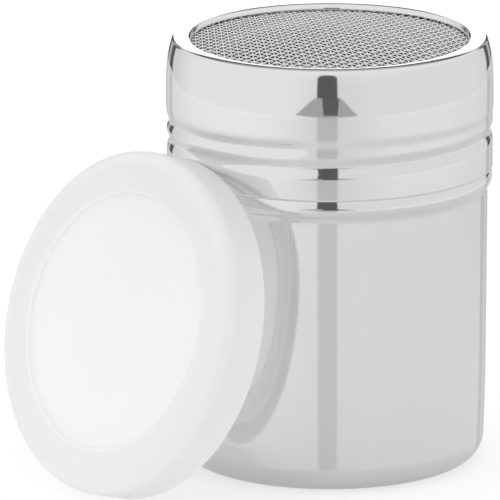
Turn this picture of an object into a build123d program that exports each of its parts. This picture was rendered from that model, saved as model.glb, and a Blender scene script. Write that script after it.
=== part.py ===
from build123d import *
from math import asin, atan, cos, degrees, floor, radians, sin, sqrt, tan
import os

# A shaker with a wire screen top, in millimetres. The cup is drawn from stainless
# sheet, with a thread rolled into its neck. A screw collar over the neck holds a
# framed wire screen down on the cup's mouth. The press-on plastic lid has been
# taken off and leans against the collar.
# Origin: centre of the cup's base. +Z is up the cup's axis, and -Y is the front.

# --- cup ---
cup_sheet = 0.5            # thickness of the drawn sheet
cup_radius = 33.63         # outside, at the top of the wall
cup_wall_lean = 0.45       # degrees that the wall widens upwards
cup_foot_lean = 2.5        # the same, just above the corner
cup_foot_radius = 500.0    # slow curve of the lower wall, from one lean to the other
cup_corner_radius = 5.8    # outside of the corner between base and wall
cup_wall_height = 59.2     # base to the start of the flare
bead_flare = 0.93          # wall to the widest part of the bead under the collar
bead_flare_height = 2.9    # start of the flare to the widest part
bead_height = 1.15         # straight part of the bead
bead_bend = 0.8            # outside radius over the top of the bead

# --- screw collar ---
collar_sheet = 0.6
collar_overhang = 0.135        # bead to the outside of the skirt, round the thread
collar_swell = 0.15            # skirt to the outside of the body above the thread
neck_gap = 1.1                 # inside of the skirt to the outside of the neck
collar_foot_gap = 0.3          # bead's top to the collar's lower edge
collar_skirt_height = 11.0     # lower edge to the start of the step
collar_step_height = 2.5       # blend from the skirt to the body
collar_body_height = 4.05      # straight part of the body
collar_upper_radius = 52.0     # slow curve above that
collar_upper_turn = 5.9        # degrees that it turns inwards
collar_shoulder_radius = 17.5  # quicker curve up to the edge
collar_shoulder_turn = 14.0    # degrees that it turns inwards
collar_corner_radius = 0.8     # crisp edge round the top
collar_top_rise = 6.2          # degrees that the top climbs at that edge
collar_top_radius = 31.0       # slow curve of the top, which is all but level at the mouth
lip_bend = 0.7                 # outside radius of the turned-in lip
top_reach = 2.95               # edge of the screen's frame to the opening in the top

# --- rolled thread, right-handed ---
thread_pitch = 3.87
collar_thread_turns = 1.42
neck_thread_turns = 1.25
thread_start_angle = 110.0     # degrees about +Z from +X, at the lower end
thread_start_height = 5.47     # lower end above the collar's lower edge
groove_section_radius = 2.4    # of the groove rolled into the collar
groove_depth = 0.5
ridge_section_radius = 1.2     # of the ridge rolled out of the neck
ridge_height = 0.85
thread_root = 0.2              # how far a ridge starts inside its wall

# --- framed wire screen ---
wire_diameter = 0.28
wire_pitch = 1.42
weave_gap = 0.02           # between the two layers of wires
screen_rim = 0.2           # frame's open edge to the ends of the slots
screen_turn = 8.0          # degrees about +Z that the wires are turned
frame_sheet = 0.35
frame_inset = 0.05         # outside of the neck to the edge of the frame
frame_width = 2.05         # outside of the fold to its open edges
frame_bend = 0.45          # outside radius of the fold's two bends
frame_top_gap = 0.06       # frame to the underside of the collar's top
screen_edge_gap = 0.1      # edge of the screen to the bottom of the fold
fold_gap = 0.02            # screen to each leaf of the fold
lip_gap = 0.1              # screen to the end of the collar's lip
frame_seat_gap = 0.05      # frame to the cup's mouth

# --- press-on lid, taken off and leaning ---
lid_fit = 0.25             # radial, skirt to collar
lid_wall = 1.4
lid_height = 10.75
lid_crown_flare = 0.2      # extra radius at the crown
lid_corner_radius = 3.0
lid_inner_corner_radius = 1.6
lid_panel_inset = 9.3      # crown's outside to the edge of the panel
lid_panel_recess = 0.6
lid_step_radius = 0.25     # rounded edges of the step round the panel
lid_edge_radius = 0.45     # rounded edges of the rim
lid_tilt = 17.5            # degrees that the lid's axis rises
lid_heading = 51.0         # degrees that its axis turns from -Y towards -X
lean_heading = 57.2        # the same, for where it leans on the collar
lean_gap = 0.25
floor_gap = 0.05

# --- radii that follow from one piece fitting the next ---
bead_radius = cup_radius + bead_flare
collar_skirt_radius = bead_radius + collar_overhang
collar_body_radius = collar_skirt_radius + collar_swell
neck_radius = collar_skirt_radius - collar_sheet - neck_gap
frame_radius = neck_radius - frame_inset
mouth_radius = frame_radius - top_reach

os.makedirs("parts", exist_ok=True)


def radial_plane(angle, height):
    """Plane through the cup's axis: local x is outwards at the angle, local y is up."""
    turn = radians(angle)
    return Plane(
        origin=(0, 0, height),
        x_dir=(cos(turn), sin(turn), 0),
        z_dir=(sin(turn), -cos(turn), 0),
    )


def thread_bar(centre_radius, section_radius, chord_radius, outwards, turns):
    """Bar along the thread's helix, starting on the XZ plane at height 0.

    Its section is the part of a circle outside (or inside) the chord radius, and
    both of its ends are rounded off to the same section.
    """
    side = 1 if outwards else -1
    tip_radius = centre_radius + side * section_radius
    half_chord = sqrt(section_radius**2 - (chord_radius - centre_radius) ** 2)
    with BuildPart() as bar:
        with BuildLine() as path:
            Helix(thread_pitch, thread_pitch * turns, centre_radius)
        with BuildSketch(radial_plane(0, 0)):
            with BuildLine():
                Line((chord_radius, -half_chord), (chord_radius, half_chord))
                ThreePointArc(
                    (chord_radius, half_chord), (tip_radius, 0), (chord_radius, -half_chord)
                )
            make_face()
        sweep(path=path.line, is_frenet=True)
        for passed_turns, backwards in ((0, 1), (turns, -1)):
            end_plane = radial_plane(360 * passed_turns, thread_pitch * passed_turns)
            with BuildSketch(end_plane):
                with BuildLine():
                    Line((tip_radius, 0), (chord_radius, 0))
                    Line((chord_radius, 0), (chord_radius, half_chord))
                    RadiusArc(
                        (chord_radius, half_chord), (tip_radius, 0), side * section_radius
                    )
                make_face()
            revolve(axis=Axis(end_plane.origin, end_plane.x_dir * backwards), revolution_arc=180)
    return bar.part


# --- screw collar: one spun sheet with a turned-in lip and a rolled thread ---
bead_top = cup_wall_height + bead_flare_height + bead_height + bead_bend
collar_foot = bead_top + collar_foot_gap
step_turn = 2 * degrees(atan((collar_body_radius - collar_skirt_radius) / collar_step_height))
step_radius = collar_step_height / (2 * sin(radians(step_turn)))

with BuildLine() as collar_outside:
    skirt = Line(
        (collar_skirt_radius, collar_foot),
        (collar_skirt_radius, collar_foot + collar_skirt_height),
    )
    step_out = JernArc(skirt @ 1, skirt % 1, step_radius, -step_turn)
    step_up = JernArc(step_out @ 1, step_out % 1, step_radius, step_turn)
    body = Line(step_up @ 1, (step_up @ 1) + (0, collar_body_height))
    upper = JernArc(body @ 1, body % 1, collar_upper_radius, collar_upper_turn)
    shoulder = JernArc(upper @ 1, upper % 1, collar_shoulder_radius, collar_shoulder_turn)
    corner = JernArc(
        shoulder @ 1,
        shoulder % 1,
        collar_corner_radius,
        90 - collar_upper_turn - collar_shoulder_turn - collar_top_rise,
    )
    # The top's curve ends where the lip's bend takes over, with this sine of its slope.
    top_width = (corner @ 1).X - mouth_radius - lip_bend
    end_slope = (sin(radians(collar_top_rise)) - top_width / collar_top_radius) / (
        1 - lip_bend / collar_top_radius
    )
    end_rise = degrees(asin(end_slope))
    top = JernArc(corner @ 1, corner % 1, collar_top_radius, collar_top_rise - end_rise)
    lip = JernArc(top @ 1, top % 1, lip_bend, 90 + end_rise)

# The frame hangs just under the top, and the screen lies in the frame.
top_underside = (corner @ 1).Y - collar_sheet * cos(radians(collar_top_rise))
frame_top = top_underside - frame_top_gap
screen_top = frame_top - frame_sheet - fold_gap
screen_thickness = 2 * wire_diameter + weave_gap
screen_bottom = screen_top - screen_thickness
frame_bottom = screen_bottom - fold_gap - frame_sheet
mouth_height = frame_bottom - frame_seat_gap
lip_end = screen_top + lip_gap

groove_centre_radius = collar_skirt_radius - groove_depth + groove_section_radius
collar_thread_base = collar_foot + thread_start_height
groove = thread_bar(
    groove_centre_radius,
    groove_section_radius,
    collar_skirt_radius + thread_root,
    False,
    collar_thread_turns,
)
collar_ridge = thread_bar(
    groove_centre_radius,
    groove_section_radius + collar_sheet,
    collar_skirt_radius - collar_sheet + thread_root,
    False,
    collar_thread_turns,
)
collar_thread_place = Pos(0, 0, collar_thread_base) * Rot(0, 0, thread_start_angle)

with BuildPart() as screw_collar:
    with BuildSketch(Plane.XZ):
        with BuildLine():
            add(collar_outside.line)
            Line(lip @ 1, (mouth_radius, lip_end))
            offset(amount=collar_sheet, side=Side.LEFT, closed=True)
        make_face()
    revolve(axis=Axis.Z)
    add(collar_thread_place * collar_ridge)
    add(collar_thread_place * groove, mode=Mode.SUBTRACT)
screw_collar.part.label = "screw_collar"
export_step(screw_collar.part, "parts/screw_collar.step")

# --- screen frame: a ring of sheet folded over the edge of the screen ---
frame_inner_radius = frame_radius - frame_width
with BuildPart() as screen_frame:
    with BuildSketch(Plane.XZ):
        with BuildLine():
            FilletPolyline(
                (frame_inner_radius, frame_bottom),
                (frame_radius, frame_bottom),
                (frame_radius, frame_top),
                (frame_inner_radius, frame_top),
                radius=frame_bend,
            )
            offset(amount=frame_sheet, side=Side.LEFT, closed=True)
        make_face()
    revolve(axis=Axis.Z)
screen_frame.part.label = "screen_frame"
export_step(screen_frame.part, "parts/screen_frame.step")

# --- wire screen: crossed wires, as two slotted layers that are joined at their rims ---
screen_radius = frame_radius - frame_sheet - screen_edge_gap
opening = wire_pitch - wire_diameter
slot_reach = frame_inner_radius - screen_rim
last_slot = floor((slot_reach - opening) / wire_pitch)

with BuildPart() as weft_wires:
    with BuildSketch(Plane.XY.offset(screen_bottom).rotated((0, 0, screen_turn))):
        Circle(screen_radius)
        for slot in range(-last_slot, last_slot + 1):
            slot_place = slot * wire_pitch
            slot_length = 2 * sqrt(slot_reach**2 - (abs(slot_place) + opening / 2) ** 2)
            with Locations((0, slot_place)):
                Rectangle(slot_length, opening, mode=Mode.SUBTRACT)
    extrude(amount=wire_diameter)
weft_wires.part.label = "weft_wires"
export_step(weft_wires.part, "parts/weft_wires.step")

warp_height = screen_bottom + wire_diameter + weave_gap
with BuildPart() as warp_wires:
    with BuildSketch(Plane.XY.offset(warp_height).rotated((0, 0, screen_turn))):
        Circle(screen_radius)
        for slot in range(-last_slot, last_slot + 1):
            slot_place = slot * wire_pitch
            slot_length = 2 * sqrt(slot_reach**2 - (abs(slot_place) + opening / 2) ** 2)
            with Locations((slot_place, 0)):
                Rectangle(opening, slot_length, mode=Mode.SUBTRACT)
    extrude(amount=wire_diameter)
warp_wires.part.label = "warp_wires"
export_step(warp_wires.part, "parts/warp_wires.step")

# --- cup: one drawn sheet, with its bead, and a ridge rolled out of its neck ---
wall_lean = radians(cup_wall_lean)
foot_lean = radians(cup_foot_lean)
foot_rise = cup_foot_radius * (sin(foot_lean) - sin(wall_lean))
foot_run = cup_foot_radius * (cos(wall_lean) - cos(foot_lean))
corner_rise = cup_corner_radius * (1 - sin(foot_lean))
wall_run = (cup_wall_height - corner_rise - foot_rise) * tan(wall_lean)
base_radius = cup_radius - wall_run - foot_run - cup_corner_radius * cos(foot_lean)
flare_turn = 2 * degrees(atan((bead_radius - cup_radius) / bead_flare_height))
flare_radius = bead_flare_height / (2 * sin(radians(flare_turn)))
neck_bend = bead_radius - neck_radius - bead_bend
ridge_centre_radius = neck_radius + ridge_height - ridge_section_radius
neck_ridge = thread_bar(
    ridge_centre_radius,
    ridge_section_radius,
    neck_radius - thread_root,
    True,
    neck_thread_turns,
)
neck_groove = thread_bar(
    ridge_centre_radius,
    ridge_section_radius - cup_sheet,
    neck_radius - cup_sheet - thread_root,
    True,
    neck_thread_turns,
)
# Tightened, the collar's thread stands midway between the turns on the neck.
neck_thread_place = Pos(0, 0, thread_pitch / 2) * collar_thread_place

with BuildPart() as cup:
    with BuildSketch(Plane.XZ):
        with BuildLine():
            base = Line((0, 0), (base_radius, 0))
            corner_out = JernArc(base @ 1, base % 1, cup_corner_radius, 90 - cup_foot_lean)
            foot = JernArc(
                corner_out @ 1, corner_out % 1, cup_foot_radius, cup_foot_lean - cup_wall_lean
            )
            wall = Line(foot @ 1, (cup_radius, cup_wall_height))
            flare_out = JernArc(wall @ 1, (0, 1), flare_radius, -flare_turn)
            flare_up = JernArc(flare_out @ 1, flare_out % 1, flare_radius, flare_turn)
            bead_side = Line(flare_up @ 1, (flare_up @ 1) + (0, bead_height))
            bead = JernArc(bead_side @ 1, (0, 1), bead_bend, 90)
            bead_to_neck = JernArc(bead @ 1, (-1, 0), neck_bend, -90)
            Line(bead_to_neck @ 1, (neck_radius, mouth_height))
            offset(amount=cup_sheet, side=Side.LEFT, closed=True)
        make_face()
    revolve(axis=Axis.Z)
    add(neck_thread_place * neck_ridge)
    add(neck_thread_place * neck_groove, mode=Mode.SUBTRACT)
cup.part.label = "cup"
export_step(cup.part, "parts/cup.step")

# --- press-on lid: one moulding, standing on its rim and leaning on the collar ---
tilt = radians(lid_tilt)
heading = radians(lid_heading)
lean = radians(lean_heading)
lid_axis = Vector(-cos(tilt) * sin(heading), -cos(tilt) * cos(heading), sin(tilt))
rim_up = Vector(sin(tilt) * sin(heading), sin(tilt) * cos(heading), cos(tilt))
rim_radius = collar_body_radius + lid_fit + lid_wall
crown_radius = rim_radius + lid_crown_flare
rim_centre_height = (
    floor_gap
    + lid_edge_radius * (1 - sin(tilt))
    + (rim_radius - lid_edge_radius) * cos(tilt)
)
lean_radius = collar_skirt_radius + lean_gap
rim_centre = Vector(
    -lean_radius * sin(lean) - rim_radius * rim_up.X,
    -lean_radius * cos(lean) - rim_radius * rim_up.Y,
    rim_centre_height,
)
panel_radius = crown_radius - lid_panel_inset
panel_height = lid_height - lid_panel_recess
under_step_radius = panel_radius + lid_wall / 2

with BuildPart() as lid:
    with BuildSketch(Plane(origin=rim_centre, x_dir=rim_up, z_dir=rim_up.cross(lid_axis))):
        with BuildLine():
            moulding = FilletPolyline(
                (0, panel_height),
                (panel_radius, panel_height),
                (panel_radius, lid_height),
                (crown_radius, lid_height),
                (rim_radius, 0),
                (rim_radius - lid_wall, 0),
                (crown_radius - lid_wall, lid_height - lid_wall),
                (under_step_radius, lid_height - lid_wall),
                (under_step_radius, panel_height - lid_wall),
                (0, panel_height - lid_wall),
                radius=[
                    lid_step_radius,
                    lid_step_radius,
                    lid_corner_radius,
                    lid_edge_radius,
                    lid_edge_radius,
                    lid_inner_corner_radius,
                    lid_step_radius,
                    lid_step_radius,
                ],
            )
            Line(moulding @ 1, moulding @ 0)
        make_face()
    revolve(axis=Axis(rim_centre, lid_axis))
lid.part.label = "lid"
export_step(lid.part, "parts/lid.step")
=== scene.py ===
from math import cos, degrees, pi, radians, sin, tan

import bmesh
import bpy
from mathutils import Euler, Matrix, Vector


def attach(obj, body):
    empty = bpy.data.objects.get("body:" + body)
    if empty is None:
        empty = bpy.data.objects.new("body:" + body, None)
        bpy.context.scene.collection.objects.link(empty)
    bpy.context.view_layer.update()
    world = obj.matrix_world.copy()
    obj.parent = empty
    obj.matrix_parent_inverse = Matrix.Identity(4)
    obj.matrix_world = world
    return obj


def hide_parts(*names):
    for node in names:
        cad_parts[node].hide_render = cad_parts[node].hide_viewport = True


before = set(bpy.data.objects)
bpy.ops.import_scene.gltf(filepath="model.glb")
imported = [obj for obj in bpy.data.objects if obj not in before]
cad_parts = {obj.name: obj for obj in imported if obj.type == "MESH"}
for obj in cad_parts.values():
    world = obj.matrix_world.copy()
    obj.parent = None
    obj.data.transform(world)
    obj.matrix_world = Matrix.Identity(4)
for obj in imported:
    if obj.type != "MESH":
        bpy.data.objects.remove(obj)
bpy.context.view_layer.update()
scene = bpy.context.scene
scene.view_settings.view_transform = "Standard"

# ---------------------------------------------------------------------------
# Camera: a long lens 2.4 m away, a little above the shaker, looking at its
# front. It is panned so that the shaker stands right of the middle.
# ---------------------------------------------------------------------------
camera_rise = radians(14.1)
camera_distance = 2.4
looked_at = Vector((0, 0, 0.046))
pan_left = radians(0.4055)
pan_down = radians(0.0182)
camera_data = bpy.data.cameras.new("camera")
camera_data.lens = 811.0
camera_data.sensor_width = 36.0
camera_data.clip_start = 0.1
camera_data.clip_end = 20.0
camera = bpy.data.objects.new("camera", camera_data)
scene.collection.objects.link(camera)
camera.location = looked_at + camera_distance * Vector((0, -cos(camera_rise), sin(camera_rise)))
camera_turn = Euler((radians(90) - camera_rise, 0, 0)).to_matrix()
camera_pan = Matrix.Rotation(pan_left, 3, "Y") @ Matrix.Rotation(-pan_down, 3, "X")
camera.rotation_euler = (camera_turn @ camera_pan).to_euler()
scene.camera = camera

# ---------------------------------------------------------------------------
# Cup: deep-drawn from one stainless sheet and mirror-polished, with a rounded
# base corner, a flare and bead that the collar closes down on, and a neck
# with a thread ridge rolled out of it.
# ---------------------------------------------------------------------------


def rounded_line(mesh, corners):
    """Joins (radius, height, bend) corners in the XZ plane, in mm, and rounds each by its bend.

    A bend gets a segment for every 4 degrees or 0.4 mm that it runs, whichever gives more.
    """
    points = [mesh.verts.new((r / 1000, 0, z / 1000)) for r, z, bend in corners]
    for a, b in zip(points, points[1:]):
        mesh.edges.new((a, b))
    for point, (r, z, bend) in zip(points, corners):
        if bend:
            before, after = [e.other_vert(point).co - point.co for e in point.link_edges]
            turn = pi - before.angle(after)
            segments = max(4, round(degrees(turn) / 4), round(bend * turn / 0.4))
            bmesh.ops.bevel(
                mesh,
                geom=[point],
                offset=bend / 1000 * tan(turn / 2),
                offset_type="OFFSET",
                affect="VERTICES",
                segments=segments,
                profile=0.5,
                material=-1,
            )


def split_long(mesh, longest):
    """Cuts every edge of a line into pieces no longer than this, in mm."""
    for edge in list(mesh.edges):
        cuts = int(edge.calc_length() * 1000 / longest)
        if cuts:
            bmesh.ops.subdivide_edges(mesh, edges=[edge], cuts=cuts)


def turned(mesh, steps):
    """Spins the line once round the Z axis, closes it and points its faces outwards."""
    bmesh.ops.spin(
        mesh,
        geom=mesh.verts[:] + mesh.edges[:],
        cent=(0, 0, 0),
        axis=(0, 0, 1),
        angle=2 * pi,
        steps=steps,
        use_merge=True,
    )
    bmesh.ops.remove_doubles(mesh, verts=mesh.verts, dist=1e-6)
    bmesh.ops.recalc_face_normals(mesh, faces=mesh.faces)


thread_pitch = 3.87
thread_start = 110


def roll_thread(mesh, lowest, highest, start_height, turns, width, skirt, depth, run_in):
    """Rolls a right-handed thread into the wall between two heights, in mm.

    It starts thread_start degrees round from +X. Its depth is outwards, and grows over run_in
    degrees at each end. The skirt widens the lower side of its first turn.
    """
    for point in mesh.verts:
        if not lowest < point.co.z * 1000 < highest:
            continue
        outwards = Vector((point.co.x, point.co.y))
        angle = (degrees(outwards.angle_signed(Vector((1, 0)), 0)) - thread_start) % 360
        nearest = None
        while angle < turns * 360:
            above = point.co.z * 1000 - start_height - thread_pitch * angle / 360
            if nearest is None or abs(above) < abs(nearest[0]):
                reach = width + (skirt * min(1, max(0, (360 - angle) / 60)) if above < 0 else 0)
                nearest = (above, min(angle, turns * 360 - angle), reach)
            angle += 360
        if nearest and abs(nearest[0]) < nearest[2]:
            above, from_end, reach = nearest
            swell = depth * (0.5 + 0.5 * cos(pi * above / reach)) * min(1, from_end / run_in)
            grown = 1 + swell / 1000 / outwards.length
            point.co.x *= grown
            point.co.y *= grown


def piece(name, mesh, body, material, slot, *replaces):
    """Makes a smooth object of the mesh, rides it on its body and stands it for its CAD nodes."""
    data = bpy.data.meshes.new(name)
    mesh.to_mesh(data)
    mesh.free()
    for polygon in data.polygons:
        polygon.use_smooth = True
    data.materials.append(material)
    made = bpy.data.objects.new(name, data)
    scene.collection.objects.link(made)
    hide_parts(*replaces)
    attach(made, body)


def new_material(name):
    """An empty node material: (material, its nodes, a function that joins two sockets)."""
    material = bpy.data.materials.new(name)
    material.use_nodes = True
    nodes = material.node_tree.nodes
    nodes.clear()
    return material, nodes, material.node_tree.links.new


def polished_steel(name, colour, roughness, polish_depth):
    """Mirror-polished stainless: faint cloudy variation and fine rings left by the polishing mop."""
    material, nodes, join = new_material(name)
    out = nodes.new("ShaderNodeOutputMaterial")
    steel = nodes.new("ShaderNodeBsdfPrincipled")
    steel.inputs["Metallic"].default_value = 1.0
    place = nodes.new("ShaderNodeTexCoord")
    stretch = nodes.new("ShaderNodeMapping")
    stretch.inputs["Scale"].default_value = (30, 30, 4200)
    rings = nodes.new("ShaderNodeTexNoise")
    rings.inputs["Scale"].default_value = 1.0
    rings.inputs["Detail"].default_value = 3.0
    clouds = nodes.new("ShaderNodeTexNoise")
    clouds.inputs["Scale"].default_value = 26.0
    clouds.inputs["Detail"].default_value = 2.0
    tint = nodes.new("ShaderNodeMix")
    tint.data_type = "RGBA"
    tint.inputs["A"].default_value = (*[c * 0.975 for c in colour], 1)
    tint.inputs["B"].default_value = (*colour, 1)
    gloss = nodes.new("ShaderNodeMapRange")
    gloss.inputs["To Min"].default_value = roughness * 0.8
    gloss.inputs["To Max"].default_value = roughness * 1.25
    bump = nodes.new("ShaderNodeBump")
    bump.inputs["Strength"].default_value = 0.2
    bump.inputs["Distance"].default_value = polish_depth
    join(place.outputs["Object"], stretch.inputs["Vector"])
    join(stretch.outputs["Vector"], rings.inputs["Vector"])
    join(place.outputs["Object"], clouds.inputs["Vector"])
    join(clouds.outputs["Fac"], tint.inputs["Factor"])
    join(tint.outputs["Result"], steel.inputs["Base Color"])
    join(rings.outputs["Fac"], gloss.inputs["Value"])
    join(gloss.outputs["Result"], steel.inputs["Roughness"])
    join(rings.outputs["Fac"], bump.inputs["Height"])
    join(bump.outputs["Normal"], steel.inputs["Normal"])
    join(steel.outputs["BSDF"], out.inputs["Surface"])
    return material


mirror_steel = polished_steel("mirror_steel", (0.84, 0.84, 0.835), 0.05, 1e-7)

cup_mesh = bmesh.new()
rounded_line(
    cup_mesh,
    [
        (0, 0, 0),
        (32.646, 0, 5.8),  # corner of the base
        (33.279, 14.49, 500),  # slow curve of the foot
        (33.63, 60.0, 2.49),  # flare
        (34.56, 61.3, 2.49),  # bead
        (34.56, 63.2, 6.0),
        (34.22, 64.19, 0.06),
        (32.995, 64.19, 0.765),  # neck
        (32.995, 89.90, 0),
    ],
)
split_long(cup_mesh, 0.8)
turned(cup_mesh, 200)
roll_thread(
    cup_mesh,
    lowest=65.5,
    highest=88,
    start_height=71.755,
    turns=1.25,
    width=1.3,
    skirt=0,
    depth=0.85,
    run_in=5,
)
bmesh.ops.solidify(cup_mesh, geom=cup_mesh.faces, thickness=0.0005)
piece("drawn_cup", cup_mesh, "cup", mirror_steel, "polished_steel", "cup")

# ---------------------------------------------------------------------------
# Screw collar: one spun stainless sheet, mirror-polished. The thread is a
# groove rolled into its skirt, and its top turns in and down round the mouth.
# ---------------------------------------------------------------------------
collar_mesh = bmesh.new()
rounded_line(
    collar_mesh,
    [
        (34.695, 64.25, 0),
        (34.695, 75.98, 10.45),  # step from the skirt to the body
        (34.845, 77.22, 10.45),
        (34.845, 84.58, 52),  # slow curve above the body
        (34.349, 89.383, 17.4),  # shoulder
        (33.448, 91.872, 0.8),  # edge of the top
        (31.830, 92.048, 22.5),
        (30.95, 92.078, 0.3),  # crest
        (29.4, 91.978, 0.92),  # lip round the mouth
        (29.4, 90.86, 0),
    ],
)
split_long(collar_mesh, 0.42)
turned(collar_mesh, 288)
roll_thread(
    collar_mesh,
    lowest=66.0,
    highest=78.5,
    start_height=69.82,
    turns=1.42,
    width=1.9,
    skirt=0.6,
    depth=-0.5,
    run_in=4,
)
bmesh.ops.solidify(collar_mesh, geom=collar_mesh.faces, thickness=0.0006)
piece("screw_collar_shell", collar_mesh, "collar", mirror_steel, "polished_steel", "screw_collar")

# ---------------------------------------------------------------------------
# Screen frame: a ring of thin stainless sheet folded over the edge of the
# wire screen. The collar's top holds it down on the cup's mouth.
# ---------------------------------------------------------------------------
frame_steel = polished_steel("frame_steel", (0.80, 0.80, 0.79), 0.25, 5e-7)
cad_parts["screen_frame"].data.materials.clear()
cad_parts["screen_frame"].data.materials.append(frame_steel)

# ---------------------------------------------------------------------------
# Wire screen: plain weave of bright stainless wire, 0.3 mm thick at 18 wires
# to the inch, pressed into a slight dome and cut to a disc. The wires fan out
# a little from left to right, as cut mesh does when it is drawn into a frame.
# ---------------------------------------------------------------------------
wire_steel, wire_nodes, join = new_material("wire_steel")
wire_out = wire_nodes.new("ShaderNodeOutputMaterial")
wire_look = wire_nodes.new("ShaderNodeBsdfPrincipled")
wire_look.inputs["Metallic"].default_value = 1.0
wire_place = wire_nodes.new("ShaderNodeTexCoord")
wire_grain = wire_nodes.new("ShaderNodeTexNoise")
wire_grain.inputs["Scale"].default_value = 2200.0
wire_grain.inputs["Detail"].default_value = 2.0
wire_tint = wire_nodes.new("ShaderNodeMix")
wire_tint.data_type = "RGBA"
wire_tint.inputs["A"].default_value = (0.88, 0.88, 0.87, 1)
wire_tint.inputs["B"].default_value = (0.96, 0.96, 0.95, 1)
wire_gloss = wire_nodes.new("ShaderNodeMapRange")
wire_gloss.inputs["To Min"].default_value = 0.42
wire_gloss.inputs["To Max"].default_value = 0.55
join(wire_place.outputs["Object"], wire_grain.inputs["Vector"])
join(wire_grain.outputs["Fac"], wire_tint.inputs["Factor"])
join(wire_grain.outputs["Fac"], wire_gloss.inputs["Value"])
join(wire_tint.outputs["Result"], wire_look.inputs["Base Color"])
join(wire_gloss.outputs["Result"], wire_look.inputs["Roughness"])
join(wire_look.outputs["BSDF"], wire_out.inputs["Surface"])

wire_pitch = 1.42
wire_radius = 0.16
screen_reach = 30.75
screen_edge_height = 90.42
screen_dome = 1.24
weave_turn = radians(7.5)
weave_fan = radians(0.217)
weave_bow = 0.0019


def screen_point(across, along, over):
    """Place in mm of a point of the weave, from its places across and along it and its height over it.

    The weave is turned. Its warp wires fan out by weave_fan for each mm across, and its weft wires bow.
    """
    x = across - along * tan(weave_turn + weave_fan * across)
    y = along + tan(weave_turn) * across + weave_bow * across**2
    dome = screen_dome * (1 - (x * x + y * y) / screen_reach**2)
    return Vector((x, y, screen_edge_height + dome + over))


def woven_wires(warp):
    """One set of parallel wires, each drawn over and under the other set."""
    mesh = bmesh.new()
    rows = int(screen_reach / wire_pitch) + 4
    steps = [step * wire_pitch / 4 for step in range(-4 * rows, 4 * rows + 1)]
    lay = Matrix.Rotation(pi / 2, 4, "X" if warp else "Y")
    for row in range(-rows, rows + 1):
        at = row * wire_pitch
        places = [screen_point(at, step, 0) if warp else screen_point(step, at, 0) for step in steps]
        inside = [step for step, place in zip(steps, places) if place.xy.length < screen_reach]
        if len(inside) < 4:
            continue
        middle = (inside[0] + inside[-1]) / 2
        made = bmesh.ops.create_cone(
            mesh,
            cap_ends=True,
            segments=6,
            radius1=wire_radius,
            radius2=wire_radius,
            depth=inside[-1] - inside[0],
            matrix=Matrix.Translation((at, middle, 0) if warp else (middle, at, 0)) @ lay,
        )
        edges = {edge for point in made["verts"] for edge in point.link_edges}
        runs = [edge for edge in edges if edge.calc_length() > wire_pitch / 2]
        bmesh.ops.subdivide_edges(mesh, edges=runs, cuts=len(inside) - 2)
    for point in mesh.verts:
        row = round((point.co.x if warp else point.co.y) / wire_pitch)
        side = 1 if (row % 2 == 0) == warp else -1
        over = side * wire_radius * cos(pi * (point.co.y if warp else point.co.x) / wire_pitch)
        point.co = screen_point(point.co.x, point.co.y, point.co.z + over) / 1000
    bmesh.ops.recalc_face_normals(mesh, faces=mesh.faces)
    return mesh


piece("screen_warp", woven_wires(True), "screen", wire_steel, "wire", "warp_wires")
piece("screen_weft", woven_wires(False), "screen", wire_steel, "wire", "weft_wires")

# ---------------------------------------------------------------------------
# Lid: one moulding of milky, slightly translucent polyethylene with a satin
# skin. Its face has a shallow round recess, thinner than the rest and painted whiter, as painted light
# for light shining through the thin plastic.
# It leans on the collar.
# ---------------------------------------------------------------------------
lid_tilt = radians(17.5)
lid_heading = radians(51.0)
lean_heading = radians(57.2)
lean_reach = 34.945
rim_radius = 36.495
rim_edge = 0.45
floor_gap = 0.05
panel_radius = 27.395
lid_axis = Vector((0, -cos(lid_tilt), sin(lid_tilt)))
rim_up = Vector((0, sin(lid_tilt), cos(lid_tilt)))
lid_axis.rotate(Matrix.Rotation(-lid_heading, 3, "Z"))
rim_up.rotate(Matrix.Rotation(-lid_heading, 3, "Z"))
leans_on = Vector((-lean_reach * sin(lean_heading), -lean_reach * cos(lean_heading), 0))
rim_centre = leans_on - rim_radius * rim_up
rim_centre.z = floor_gap + rim_edge * (1 - sin(lid_tilt)) + (rim_radius - rim_edge) * cos(lid_tilt)

lid_plastic, lid_nodes, join = new_material("milky_polyethylene")
lid_out = lid_nodes.new("ShaderNodeOutputMaterial")
lid_look = lid_nodes.new("ShaderNodeBsdfPrincipled")
lid_look.inputs["Roughness"].default_value = 0.3
lid_look.inputs["IOR"].default_value = 1.5
lid_look.inputs["Subsurface Weight"].default_value = 1.0
lid_look.inputs["Subsurface Radius"].default_value = (1.0, 0.99, 0.97)
lid_look.inputs["Subsurface Scale"].default_value = 0.005
lid_place = lid_nodes.new("ShaderNodeTexCoord")
from_centre = lid_nodes.new("ShaderNodeVectorMath")
from_centre.operation = "SUBTRACT"
from_centre.inputs[1].default_value = rim_centre / 1000
across_axis = lid_nodes.new("ShaderNodeVectorMath")
across_axis.operation = "CROSS_PRODUCT"
across_axis.inputs[1].default_value = lid_axis
from_axis = lid_nodes.new("ShaderNodeVectorMath")
from_axis.operation = "LENGTH"
panel_to_wall = lid_nodes.new("ShaderNodeMapRange")
panel_to_wall.interpolation_type = "SMOOTHSTEP"
panel_to_wall.inputs["From Min"].default_value = 0.0271
panel_to_wall.inputs["From Max"].default_value = 0.0279
lid_clouds = lid_nodes.new("ShaderNodeTexNoise")
lid_clouds.inputs["Scale"].default_value = 35.0
# Painted light: the recess is painted whiter than the wall, standing in for light shining through its
# thinner plastic.
lid_backlit_panel = lid_nodes.new("ShaderNodeMix")
lid_backlit_panel.data_type = "RGBA"
lid_backlit_panel.inputs["A"].default_value = (0.985, 0.985, 0.98, 1)
lid_backlit_panel.inputs["B"].default_value = (0.99, 0.99, 0.985, 1)
lid_wall = lid_nodes.new("ShaderNodeMix")
lid_wall.data_type = "RGBA"
lid_wall.inputs["A"].default_value = (0.79, 0.79, 0.785, 1)
lid_wall.inputs["B"].default_value = (0.805, 0.805, 0.80, 1)
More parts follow.
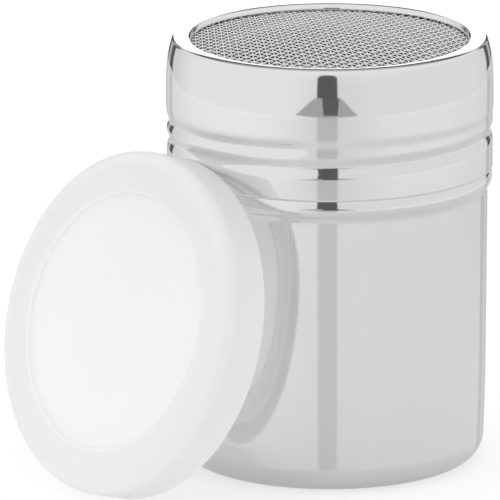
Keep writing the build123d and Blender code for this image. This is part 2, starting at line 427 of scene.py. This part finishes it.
lid_tint = lid_nodes.new("ShaderNodeMix")
lid_tint.data_type = "RGBA"
lid_skin = lid_nodes.new("ShaderNodeTexNoise")
lid_skin.inputs["Scale"].default_value = 1500.0
lid_bump = lid_nodes.new("ShaderNodeBump")
lid_bump.inputs["Strength"].default_value = 0.15
lid_bump.inputs["Distance"].default_value = 5e-6
join(lid_place.outputs["Object"], from_centre.inputs[0])
join(from_centre.outputs["Vector"], across_axis.inputs[0])
join(across_axis.outputs["Vector"], from_axis.inputs[0])
join(from_axis.outputs["Value"], panel_to_wall.inputs["Value"])
join(lid_place.outputs["Object"], lid_clouds.inputs["Vector"])
join(lid_place.outputs["Object"], lid_skin.inputs["Vector"])
join(lid_clouds.outputs["Fac"], lid_backlit_panel.inputs["Factor"])
join(lid_clouds.outputs["Fac"], lid_wall.inputs["Factor"])
join(panel_to_wall.outputs["Result"], lid_tint.inputs["Factor"])
join(lid_backlit_panel.outputs["Result"], lid_tint.inputs["A"])
join(lid_wall.outputs["Result"], lid_tint.inputs["B"])
join(lid_tint.outputs["Result"], lid_look.inputs["Base Color"])
join(lid_skin.outputs["Fac"], lid_bump.inputs["Height"])
join(lid_bump.outputs["Normal"], lid_look.inputs["Normal"])
join(lid_look.outputs["BSDF"], lid_out.inputs["Surface"])

lid_mesh = bmesh.new()
rounded_line(
    lid_mesh,
    [
        (0, 10.15, 0),
        (panel_radius, 10.15, 0.25),  # recess in the face
        (panel_radius, 10.75, 0.25),
        (36.695, 10.75, 3.0),  # crown
        (rim_radius, 0, rim_edge),
        (35.095, 0, rim_edge),  # inner side of the rim
        (35.295, 9.35, 1.6),
        (28.095, 9.35, 0.25),
        (28.095, 8.75, 0.25),
        (0, 8.75, 0),
    ],
)
split_long(lid_mesh, 2.0)
turned(lid_mesh, 240)
lid_turn = Matrix((rim_up, lid_axis.cross(rim_up), lid_axis)).transposed().to_4x4()
bmesh.ops.transform(
    lid_mesh, matrix=Matrix.Translation(rim_centre / 1000) @ lid_turn, verts=lid_mesh.verts
)
piece("press_on_lid", lid_mesh, "lid", lid_plastic, "lid_plastic", "lid")

# ---------------------------------------------------------------------------
# Studio: a white tent with a slit for the camera, and a white floor. Steel
# sees the tent's slit and the gloss of the floor, and the camera doesn't.
# ---------------------------------------------------------------------------


def math_in(nodes, join):
    """Gives a function that adds a Math node to a material or world, on two sockets or numbers."""

    def work_out(operation, a, b=0.0, clamp=False):
        node = nodes.new("ShaderNodeMath")
        node.operation = operation
        node.use_clamp = clamp
        for socket, value in zip(node.inputs, (a, b)):
            if isinstance(value, (int, float)):
                socket.default_value = value
            else:
                join(value, socket)
        return node.outputs["Value"]

    return work_out


def ramp(work_out, value, low, high):
    """0 where a value is at low, 1 where it is at high, and even between."""
    return work_out("DIVIDE", work_out("SUBTRACT", value, low), high - low, True)


def band(work_out, value, low, high, soft):
    """1 between low and high, falling to 0 over a soft edge on each side."""
    up = ramp(work_out, value, low, low + soft)
    down = ramp(work_out, value, high, high - soft)
    return work_out("MINIMUM", up, down)


def darkened(work_out, value, mask, share):
    """A value less a share of itself where the mask is 1."""
    return work_out("MULTIPLY", value, work_out("SUBTRACT", 1.0, work_out("MULTIPLY", mask, share)))


floor_mesh = bmesh.new()
bmesh.ops.create_circle(floor_mesh, cap_ends=True, radius=0.45, segments=96)
floor_data = bpy.data.meshes.new("floor")
floor_mesh.to_mesh(floor_data)
floor_mesh.free()
floor = bpy.data.objects.new("floor", floor_data)
scene.collection.objects.link(floor)

# Painted shade: steel sees the floor glow in a painted grey, with painted shade to the right and behind
# the shaker, and painted shadows near the shaker and along the camera's stand.
shadow_bearing = radians(-1.9)
floor_white, floor_nodes, join = new_material("floor_white")
floor_sum = math_in(floor_nodes, join)
floor_place = floor_nodes.new("ShaderNodeTexCoord")
floor_axes = floor_nodes.new("ShaderNodeSeparateXYZ")
join(floor_place.outputs["Object"], floor_axes.inputs["Vector"])
floor_front = floor_sum("MULTIPLY", floor_axes.outputs["Y"], -1.0)
floor_bearing = floor_sum("ARCTAN2", floor_axes.outputs["X"], floor_front)
floor_aside = floor_sum("ABSOLUTE", floor_sum("SUBTRACT", floor_bearing, shadow_bearing))
floor_reach = floor_nodes.new("ShaderNodeVectorMath")
floor_reach.operation = "LENGTH"
join(floor_place.outputs["Object"], floor_reach.inputs[0])
floor_distance = floor_reach.outputs["Value"]
# Painted shade, darker to the right.
floor_right_shade = ramp(floor_sum, floor_axes.outputs["X"], -0.15, 0.15)
floor_shaded_tone = floor_sum("SUBTRACT", 0.78, floor_sum("MULTIPLY", floor_right_shade, 0.08))
# Painted shadow near the shaker.
floor_shaded_tone = darkened(floor_sum, floor_shaded_tone, ramp(floor_sum, floor_distance, 0.31, 0.24), 0.15)
# Painted shade behind the shaker.
floor_rear_shade = floor_sum(
    "MULTIPLY",
    ramp(floor_sum, floor_aside, radians(88), radians(150)),
    ramp(floor_sum, floor_distance, 0.05, 0.30),
)
floor_shaded_tone = darkened(floor_sum, floor_shaded_tone, floor_rear_shade, 0.24)
# Painted shadow in front, along the camera's stand.
floor_shade = floor_sum(
    "MULTIPLY",
    ramp(floor_sum, floor_aside, radians(45), radians(8)),
    ramp(floor_sum, floor_distance, 0.25, 0.31),
)
floor_shaded_tone = darkened(floor_sum, floor_shaded_tone, floor_shade, 0.30)
floor_shaded_grey = floor_nodes.new("ShaderNodeCombineColor")
for channel in ("Red", "Green", "Blue"):
    join(floor_shaded_tone, floor_shaded_grey.inputs[channel])

# To the camera and to matt surfaces it is a plain white floor that takes a soft shadow.
floor_out = floor_nodes.new("ShaderNodeOutputMaterial")
floor_path = floor_nodes.new("ShaderNodeLightPath")
floor_plain = floor_nodes.new("ShaderNodeBsdfDiffuse")
floor_plain.inputs["Color"].default_value = (0.4, 0.4, 0.4, 1)
floor_lift = floor_nodes.new("ShaderNodeEmission")
floor_lift.inputs["Strength"].default_value = 0.64
floor_seen = floor_nodes.new("ShaderNodeAddShader")
floor_gloss = floor_nodes.new("ShaderNodeBsdfPrincipled")
floor_gloss.inputs["Roughness"].default_value = 0.12
floor_gloss.inputs["Base Color"].default_value = (0.3, 0.3, 0.3, 1)
# Steel sees the floor glow with this painted shade as its colour.
floor_gloss.inputs["Emission Strength"].default_value = 0.6
join(floor_shaded_grey.outputs["Color"], floor_gloss.inputs["Emission Color"])
floor_pick = floor_nodes.new("ShaderNodeMixShader")
join(floor_plain.outputs["BSDF"], floor_seen.inputs[0])
join(floor_lift.outputs["Emission"], floor_seen.inputs[1])
seen_plainly = floor_sum(
    "MAXIMUM", floor_path.outputs["Is Camera Ray"], floor_path.outputs["Is Diffuse Ray"]
)
join(seen_plainly, floor_pick.inputs["Fac"])
join(floor_gloss.outputs["BSDF"], floor_pick.inputs[1])
join(floor_seen.outputs["Shader"], floor_pick.inputs[2])
join(floor_pick.outputs["Shader"], floor_out.inputs["Surface"])
floor_data.materials.append(floor_white)


def floor_card(name, near, far, height, grey):
    """A grey card on the floor in front, from its near and its far edge, that only the steel sees.

    Each edge is (distance in front, left end, right end) in metres.
    """
    mesh = bmesh.new()
    bmesh.ops.create_grid(mesh, x_segments=1, y_segments=1, size=1)
    for point in mesh.verts:
        distance, left, right = near if point.co.y > 0 else far
        point.co = Vector((left if point.co.x < 0 else right, -distance, height))
    data = bpy.data.meshes.new(name)
    mesh.to_mesh(data)
    mesh.free()
    material, nodes, join = new_material(name + "_grey")
    out = nodes.new("ShaderNodeOutputMaterial")
    matt = nodes.new("ShaderNodeBsdfDiffuse")
    matt.inputs["Color"].default_value = (grey, grey, grey, 1)
    join(matt.outputs["BSDF"], out.inputs["Surface"])
    data.materials.append(material)
    card = bpy.data.objects.new(name, data)
    scene.collection.objects.link(card)
    card.visible_camera = False
    card.visible_diffuse = False


# A wide grey card darkens the floor that steel sees in front. A narrow dark card continues the tent's
# slit onto the floor.
floor_card("wide_front_card", (0.442, -0.190, 0.152), (1.40, -0.235, 0.175), 0.0004, 0.42)
floor_card("slit_card", (0.475, -0.034, 0.044), (1.40, -0.130, 0.160), 0.0008, 0.12)

world = bpy.data.worlds.new("tent")
scene.world = world
world.use_nodes = True
world_nodes = world.node_tree.nodes
world_nodes.clear()
join = world.node_tree.links.new
world_sum = math_in(world_nodes, join)
world_place = world_nodes.new("ShaderNodeTexCoord")
world_axes = world_nodes.new("ShaderNodeSeparateXYZ")
join(world_place.outputs["Generated"], world_axes.inputs["Vector"])
to_right, to_back, to_top = (world_axes.outputs[axis] for axis in "XYZ")
rise = world_sum("ARCSINE", to_top)
bearing = world_sum("ARCTAN2", to_right, world_sum("MULTIPLY", to_back, -1.0))
aside = world_sum("ABSOLUTE", bearing)

# The tent's walls are darker to the right, round the slit and behind.
slit_middle = radians(-1.7)
slit_half = radians(7.5)
slit_aside = world_sum("ABSOLUTE", world_sum("SUBTRACT", bearing, slit_middle))
low = ramp(world_sum, rise, radians(40), radians(10))
right = world_sum("MULTIPLY", ramp(world_sum, bearing, radians(-25), radians(15)), low)
level = world_sum("SUBTRACT", 0.90, world_sum("MULTIPLY", right, 0.08))
near_slit = world_sum("MULTIPLY", ramp(world_sum, slit_aside, radians(28), slit_half), low)
level = darkened(world_sum, level, near_slit, 0.07)
rear_left = world_sum("MULTIPLY", ramp(world_sum, bearing, radians(-112), radians(-140)), low)
rear_right = world_sum("MULTIPLY", ramp(world_sum, bearing, radians(120), radians(150)), low)
level = darkened(world_sum, level, rear_left, 0.20)
level = darkened(world_sum, level, rear_right, 0.10)

# Straight behind hangs a white backdrop. On each side of it is a dark panel with a lighter stripe.
backdrop = ramp(world_sum, aside, radians(170.0), radians(171.4))
wings = world_sum(
    "MULTIPLY",
    ramp(world_sum, aside, radians(144.5), radians(147)),
    band(world_sum, rise, radians(-10.8), radians(20.4), radians(0.6)),
)
stripe = band(world_sum, aside, radians(153.5), radians(162.5), radians(2))
wings = darkened(world_sum, wings, stripe, 0.65)
level = darkened(world_sum, level, wings, 0.86)

# A dark seam runs over the backdrop, where the tent's roof begins.
seam = world_sum(
    "MINIMUM",
    ramp(world_sum, rise, radians(17.9), radians(18.6)),
    ramp(world_sum, rise, radians(26), radians(20.2)),
)
seam = world_sum("MULTIPLY", seam, ramp(world_sum, aside, radians(150), radians(160)))
level = darkened(world_sum, level, seam, 0.70)
below_seam = ramp(world_sum, rise, radians(18.5), radians(17.9))
white = world_sum("MULTIPLY", backdrop, below_seam)
level = world_sum("ADD", darkened(world_sum, level, white, 1.0), world_sum("MULTIPLY", white, 1.28))

# The slit for the camera is dark, and its top corners are round.
slit_corner = world_sum("POWER", world_sum("DIVIDE", slit_aside, slit_half, True), 4.0)
slit_top = world_sum("ADD", rise, world_sum("MULTIPLY", slit_corner, radians(6)))
slit = world_sum(
    "MULTIPLY",
    ramp(world_sum, slit_aside, slit_half, slit_half - radians(0.8)),
    ramp(world_sum, slit_top, radians(27), radians(24)),
)
level = darkened(world_sum, level, slit, 0.86)

# Matt surfaces see the tent plain, and the camera sees it white.
plain = world_sum("SUBTRACT", 1.0, world_sum("MULTIPLY", to_right, 0.10))
world_path = world_nodes.new("ShaderNodeLightPath")
mirrored = world_path.outputs["Is Glossy Ray"]
seen = world_path.outputs["Is Camera Ray"]
strength = world_nodes.new("ShaderNodeMix")
strength.data_type = "FLOAT"
join(mirrored, strength.inputs["Factor"])
join(plain, strength.inputs["A"])
join(level, strength.inputs["B"])
tent = world_nodes.new("ShaderNodeBackground")
tent.inputs["Color"].default_value = (1, 1, 1, 1)
join(world_sum("MAXIMUM", strength.outputs["Result"], seen), tent.inputs["Strength"])
world_out = world_nodes.new("ShaderNodeOutputWorld")
join(tent.outputs["Background"], world_out.inputs["Surface"])
